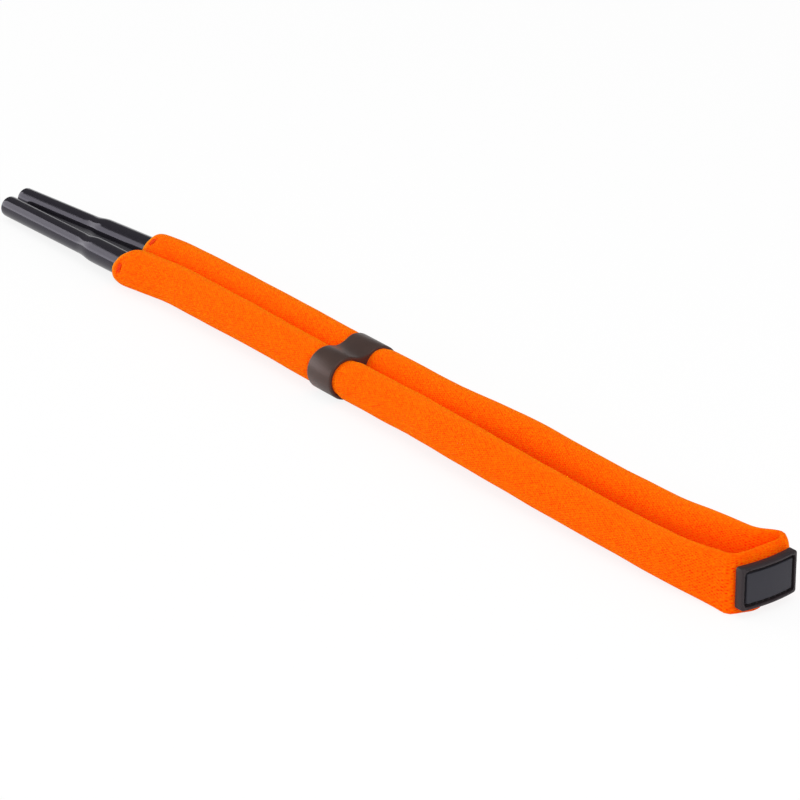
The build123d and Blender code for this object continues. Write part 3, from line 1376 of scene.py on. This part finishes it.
@dataclass
class Slider:
    """The moulded slider: two holes under one saddle-shaped skin."""

    lie: Lie
    finish: Material
    hole_r: float = 4.95 * MM
    saddle_r: float = 8.0 * MM
    skin_trim: float = 0.2 * MM
    rim_round: float = 0.42 * MM
    hole_round: float = 0.18 * MM
    arc_step: float = radians(5.0)
    rim_angle: float = 80.0
    fit: float = 10 * TINY

    def __post_init__(self) -> None:
        """Works out where the skin, the saddle and the middle wall meet."""
        self.skin = self.lie.slider_radius - self.skin_trim
        self.half = self.lie.lane_pitch / 2
        self.rise = sqrt((self.skin + self.saddle_r) ** 2 - self.half**2)
        self.tangent = atan2(self.rise, self.half)
        self.corner = atan2(self.rise - self.saddle_r, self.half)

    def outer(self, angle: float) -> float:
        """Distance from a hole's centre to the skin or to the middle of the slider.

        Args:
            angle: round the hole, 0 towards the middle of the slider.

        Returns:
            The distance.
        """
        angle = abs((angle + pi) % tau - pi)
        if angle >= self.tangent:
            return self.skin
        if angle <= self.corner:
            return self.half / cos(angle)
        along = self.half * cos(angle) + self.rise * sin(angle)
        return along - sqrt(self.saddle_r**2 - (self.half**2 + self.rise**2) + along**2)

    def angles(self) -> list[float]:
        """Angles of the section's points, with one at each corner of the middle wall.

        Returns:
            The angles round a hole, 0 towards the middle of the slider.
        """
        stops = [-self.corner, self.corner, self.tangent, tau - self.tangent, tau - self.corner]
        result = []
        for start, stop in zip(stops, stops[1:]):
            count = ceil((stop - start) / self.arc_step)
            result += [start + (stop - start) * k / count for k in range(count)]
        return result

    def in_hole(self, point: Vector) -> bool:
        """Whether a point lies on the wall of a hole."""
        return abs(hypot(abs(point.y) - self.half, point.z) - self.hole_r) < self.fit

    def build(self) -> Object:
        """Builds the slider and joins it to the frame.

        Returns:
            The finished slider.
        """
        lie = self.lie
        length = lie.slider_high - lie.slider_low
        angles = self.angles()
        bm = bmesh.new()
        loops = []
        for radii in ([self.hole_r] * len(angles), [self.outer(angle) for angle in angles]):
            verts = [bm.verts.new((0.0, self.half - r * cos(angle), r * sin(angle)))
                     for angle, r in zip(angles, radii)]
            loops += [bm.edges.new(pair) for pair in zip(verts, verts[1:] + verts[:1])]
        faces = bmesh.ops.bridge_loops(bm, edges=loops)["faces"]
        far = bmesh.ops.extrude_face_region(bm, geom=faces)["geom"]
        bmesh.ops.translate(bm, vec=(length, 0, 0), verts=only_verts(far))
        middle = [f for f in bm.faces if all(abs(v.co.y) < TINY for v in f.verts)]
        bmesh.ops.delete(bm, geom=middle, context="FACES")
        bmesh.ops.mirror(bm, geom=everything(bm), axis="Y", merge_dist=self.fit)
        bmesh.ops.recalc_face_normals(bm, faces=bm.faces)
        rims = sharp_edges(bm.edges, self.rim_angle)
        holes = [e for e in rims if all(self.in_hole(v.co) for v in e.verts)]
        bevel(bm, [e for e in rims if e not in holes], self.rim_round, segments=4)
        bevel(bm, [e for e in holes if e.is_valid], self.hole_round, segments=2)
        for vert in bm.verts:
            low, high = lie.slider_span(vert.co.y)
            vert.co.x = low + vert.co.x * (high - low) / length
        bmesh.ops.translate(bm, vec=(0.0, lie.lane_y, lie.lane_z), verts=bm.verts)
        piece = make_object("rubber_slider", bm, self.finish)
        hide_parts("slider")
        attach(piece, "slider")
        return piece


@dataclass
class Label:
    """The moulded label: a bowed plate with a raised rim, a blank panel and its sewing."""

    lie: Lie
    base_finish: Material
    panel_finish: Material
    thread_finish: Material
    corner: float = 0.75 * MM
    seat: float = 0.05 * MM
    rim: float = 0.78 * MM
    stretch: float = 0.4 * MM
    trim: float = 0.6 * MM
    raised: float = 0.15 * MM
    pocket: float = 0.9 * MM
    groove: float = 0.75 * MM
    panel_thick: float = 0.6 * MM
    rim_round: float = 0.32 * MM
    thread_r: float = 0.18 * MM
    stitch: float = 1.25 * MM
    stitch_pitch: float = 2.0 * MM
    slice_pitch: float = 1.1 * MM
    edge_angle: float = 50.0

    def __post_init__(self) -> None:
        """Reads the label's size from the frame."""
        low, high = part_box("label_base")
        start, stop = low.y + self.trim, high.y + self.stretch
        self.length = stop - start
        self.height = high.z - low.z
        self.middle = Vector((0.0, (start + stop) / 2, (low.z + high.z) / 2 + self.raised))
        self.back_r = self.lie.bow_radius + self.lie.band_thick / 2 + self.seat
        self.thick = high.x - self.lie.bow_x - self.back_r
        self.floor = self.thick - self.pocket

    def bow(self, bm: BMesh) -> None:
        """Bends a flat plate, whose x is its depth, round the face of the bend.

        Args:
            bm: the plate.
        """
        low, high = (f(v.co.y for v in bm.verts) for f in (min, max))
        count = ceil((high - low) / self.slice_pitch)
        for k in range(1, count):
            bmesh.ops.bisect_plane(
                bm, geom=everything(bm), plane_no=(0, 1, 0),
                plane_co=(0, low + (high - low) * k / count, 0),
            )
        for vert in bm.verts:
            vert.co = self.bowed(vert.co)

    def bowed(self, point: Vector) -> Vector:
        """Bends one point of the flat label.

        Args:
            point: its depth, and its place along and up the label.

        Returns:
            The point on the bowed label, in the frame.
        """
        y = self.middle.y + point.y
        off = y - self.lie.bend_y
        x = self.lie.bow_x + sqrt((self.back_r + point.x) ** 2 - off**2)
        return Vector((x, y, self.middle.z + point.z))

    def plate(self, length: float, height: float, depth: tuple[float, float],
              corner: float) -> BMesh:
        """Builds a flat plate with rounded corners.

        Args:
            length: along the label.
            height: up the label.
            depth: depth of its back and of its face.
            corner: radius of its corners.

        Returns:
            The plate.
        """
        bm = bmesh.new()
        bmesh.ops.create_cube(bm, size=1.0)
        thick = depth[1] - depth[0]
        bmesh.ops.scale(bm, vec=(thick, length, height), verts=bm.verts)
        bmesh.ops.translate(bm, vec=((depth[0] + depth[1]) / 2, 0, 0), verts=bm.verts)
        uprights = [e for e in bm.edges if abs(e.verts[0].co.x - e.verts[1].co.x) > thick / 2]
        bevel(bm, uprights, corner, segments=6)
        return bm

    def face_edges(self, bm: BMesh, depth: float) -> list[BMEdge]:
        """The sharp edges of a plate at one depth."""
        return [e for e in sharp_edges(bm.edges, self.edge_angle)
                if all(abs(v.co.x - depth) < TINY for v in e.verts)]

    def base(self) -> Object:
        """Builds the plate with its rim and pocket.

        Returns:
            The plate.
        """
        bm = self.plate(self.length, self.height, (0.0, self.thick), self.corner)
        face = max(bm.faces, key=lambda f: f.calc_center_median().x)
        bmesh.ops.inset_region(bm, faces=[face], thickness=self.rim, use_even_offset=True)
        pocket = bmesh.ops.extrude_face_region(bm, geom=[face])["geom"]
        bmesh.ops.delete(bm, geom=[face], context="FACES_ONLY")
        bmesh.ops.translate(bm, vec=(-self.pocket, 0, 0), verts=only_verts(pocket))
        bmesh.ops.recalc_face_normals(bm, faces=bm.faces)
        bevel(bm, self.face_edges(bm, self.thick), self.rim_round, segments=3)
        bevel(bm, self.face_edges(bm, 0.0), self.rim_round / 2, segments=2)
        self.bow(bm)
        piece = make_object("label_plate", bm, self.base_finish, self.edge_angle)
        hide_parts("label_base")
        return piece

    def panel(self) -> Object:
        """Builds the blank panel in the pocket.

        Returns:
            The panel.
        """
        inner = 2 * (self.rim + self.groove)
        face = self.floor + self.panel_thick
        bm = self.plate(self.length - inner, self.height - inner, (self.floor, face),
                        self.rim_round)
        bevel(bm, self.face_edges(bm, face), self.panel_thick / 3, segments=3)
        self.bow(bm)
        piece = make_object("label_blank_panel", bm, self.panel_finish, self.edge_angle)
        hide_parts("label_panel")
        return piece

    def sewing(self) -> Object:
        """Builds the stitches that lie in the groove.

        Returns:
            All the stitches, as one piece.
        """
        length = self.length - 2 * self.rim - self.groove
        height = self.height - 2 * self.rim - self.groove
        columns, rows = round(length / self.stitch_pitch), round(height / self.stitch_pitch)
        spots = []
        for edge in (-0.5, 0.5):
            spots += [((k + 0.5) / columns - 0.5, edge, (0, 1, 0)) for k in range(columns)]
            spots += [(edge, (k + 0.5) / rows - 0.5, (0, 0, 1)) for k in range(rows)]
        bm = bmesh.new()
        for along, up, way in spots:
            middle = Vector((self.floor + self.thread_r, along * length, up * height))
            reach = Vector(way) * self.stitch / 2
            add_thread(bm, self.bowed(middle - reach), self.bowed(middle + reach), self.thread_r)
        piece = make_object("label_sewing", bm, self.thread_finish)
        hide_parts("label_stitches")
        return piece

    def build(self) -> list[Object]:
        """Builds the label and joins it to the frame.

        Returns:
            Its three pieces.
        """
        pieces = [self.base(), self.panel(), self.sewing()]
        for piece in pieces:
            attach(piece, "strap")
        return pieces


@dataclass
class Studio:
    """Floor, lights and camera.

    Attributes:
        white_seen: how white the floor looks by itself to the camera; white_mirrored and
            white_through say so for its mirror image and through clear parts.
        sky: brightness of the world as a light.
        backdrop_top: height above which a mirror image of the world is dark.
        backdrop_fade: how gradually it gets dark.
        dark_ceiling: how dark it gets.
    """

    azimuth: float = 53.644
    elevation: float = 23.785
    roll: float = -0.143
    sensor: float = 36.0
    lens: float = 175.536
    clip: tuple[float, float] = (0.05, 20.0)
    distance: float = 1.0228
    target: Triple = (14.15 * MM, 5.41 * MM, 0.0)
    floor_size: float = 4.0
    floor_colour: Triple = (0.94, 0.94, 0.94)
    white_seen: float = 0.86
    white_mirrored: float = 0.6
    white_through: float = 0.8
    sky: float = 0.6
    backdrop_top: float = 0.12
    backdrop_fade: float = 0.12
    dark_ceiling: float = 0.88

    def camera(self) -> None:
        """Adds the camera."""
        a, e, r = radians(self.azimuth), radians(self.elevation), radians(self.roll)
        back = Vector((sin(a) * cos(e), -cos(a) * cos(e), sin(e)))
        right = Vector((cos(a), sin(a), 0.0))
        up = back.cross(right)
        turned_right = right * cos(r) + up * sin(r)
        turned_up = up * cos(r) - right * sin(r)
        data = bpy.data.cameras.new("camera")
        data.sensor_width, data.lens = self.sensor, self.lens
        data.clip_start, data.clip_end = self.clip
        camera = add_object("camera", data)
        place = Matrix((turned_right, turned_up, back)).transposed().to_4x4()
        place.translation = Vector(self.target) + back * self.distance
        camera.matrix_world = place
        bpy.context.scene.camera = camera

    def softbox(self, name: str, place: Triple, size: tuple[float, float], radiance: float,
                aim: Triple) -> None:
        """Adds a rectangular soft light.

        Args:
            name: the light's name.
            place: its centre.
            size: its width and height.
            radiance: its brightness, where 1 is white.
            aim: the way that it faces.
        """
        data = bpy.data.lights.new(name, "AREA")
        data.shape = "RECTANGLE"
        data.size, data.size_y = size
        data.energy = radiance * pi * size[0] * size[1]
        lamp = add_object(name, data)
        lamp.location = place
        lamp.rotation_mode = "QUATERNION"
        lamp.rotation_quaternion = Vector(aim).to_track_quat("-Z", "Y")

    def floor(self) -> None:
        """Adds a plain white floor that keeps the strap's shadow."""
        bm = bmesh.new()
        bmesh.ops.create_grid(bm, x_segments=1, y_segments=1, size=self.floor_size)
        shader = Shader("white_floor")
        shader.set(Base_Color=self.floor_colour, Roughness=0.9, Specular_IOR_Level=0.0)
        seen, mirrored, through = shader.rays()
        share = (seen * self.white_seen + mirrored * self.white_mirrored
                 + through * self.white_through).at_most(1.0)
        lit = shader.node("ShaderNodeEmission", sockets={"Color": WHITE, "Strength": 1.0})
        sockets = {0: share, 1: shader.surface.outputs[0], 2: lit.outputs[0]}
        mixed = shader.node("ShaderNodeMixShader", sockets=sockets)
        shader.feed(shader.find("OUTPUT_MATERIAL").inputs["Surface"], mixed.outputs[0])
        make_object("floor", bm, shader.material)

    def world(self) -> None:
        """Sets a pale world, which the camera sees as white."""
        world = bpy.data.worlds.new("studio")
        world.use_nodes = True
        bpy.context.scene.world = world
        nodes = Nodes(world.node_tree)
        seen, mirrored, through = nodes.rays()
        white = seen.at_least(mirrored).at_least(through)
        ways = nodes.node("ShaderNodeTexCoord").outputs["Generated"]
        axes = nodes.node("ShaderNodeSeparateXYZ", sockets={"Vector": ways})
        height = nodes.value(axes.outputs["Z"])
        ceiling = ((height - self.backdrop_top) / self.backdrop_fade).share()
        light = white * (1 - self.sky) + self.sky
        light = light * (1.0 - mirrored * ceiling * self.dark_ceiling)
        ground = nodes.find("BACKGROUND").inputs
        nodes.feed(ground["Color"], WHITE)
        nodes.feed(ground["Strength"], light)

    def build(self) -> None:
        """Adds everything."""
        self.camera()
        self.floor()
        self.world()
        self.softbox("side_softbox", place=(-0.95, -0.8, 0.29), size=(1.3, 0.54), radiance=3.1,
                     aim=(1.0, 0.0, 0.0))
        self.softbox("top_softbox", place=(0.25, -0.1, 1.3), size=(0.9, 0.9), radiance=2.2,
                     aim=(-0.19, 0.08, -1.0))
        self.softbox("bend_softbox", place=(1.0, -0.35, 0.55), size=(0.7, 0.7), radiance=2.2,
                     aim=(-1.0, 0.3, -0.5))
        bpy.context.scene.view_settings.view_transform = "Standard"


def main() -> None:
    """Builds every piece around the frame."""
    logging.basicConfig(level=logging.INFO, format="%(message)s")
    lie = Lie()
    tube_rubber = RubberFinish("tube_rubber", (0.016, 0.0145, 0.019), 0.11, grain=0.0015 * MM,
                               specular=0.3, tint=(0.82, 0.75, 1.0))
    satin = RubberFinish("slider_rubber", (0.05, 0.032, 0.027), 0.38, grain=0.008 * MM,
                         specular=0.3, tint=(1.0, 0.7, 0.68))
    plate = RubberFinish("label_rubber", (0.024, 0.017, 0.02), 0.5, specular=0.3)
    blank = RubberFinish("panel_rubber", (0.026, 0.025, 0.033), 0.6, specular=0.3)
    core = RubberFinish("core_plastic", (0.35, 0.34, 0.32), 0.4).material()
    # the tack thread gets a painted glow, like the knit's
    tack = ThreadFinish("tack_thread", (0.95, 0.06, 0.002), glow=0.16)
    sewing = ThreadFinish("label_thread", (0.015, 0.012, 0.014))
    sleeves = KnittedSleeve(lie, KnitFinish().material())
    pieces = [sleeves.build(side) for side in Side]
    rods = ArmFoam(lie, FoamFinish().material())
    tubes = TempleTube(lie, tube_rubber.material())
    tacks = TackStitch(lie, tack.material())
    for side in Side:
        pieces += [rods.build(side), tubes.build(side), tacks.build(side)]
        rod = frame["nodes"][f"core_rod_{side.word}"].data
        rod.materials.clear()
        rod.materials.append(core)
    pieces.append(Slider(lie, satin.material()).build())
    pieces += Label(lie, plate.material(), blank.material(), sewing.material()).build()
    for piece in pieces:
        LOG.info("%s: %d faces", piece.name, len(piece.data.polygons))
    Studio().build()


if __name__ == "__main__":
    main()
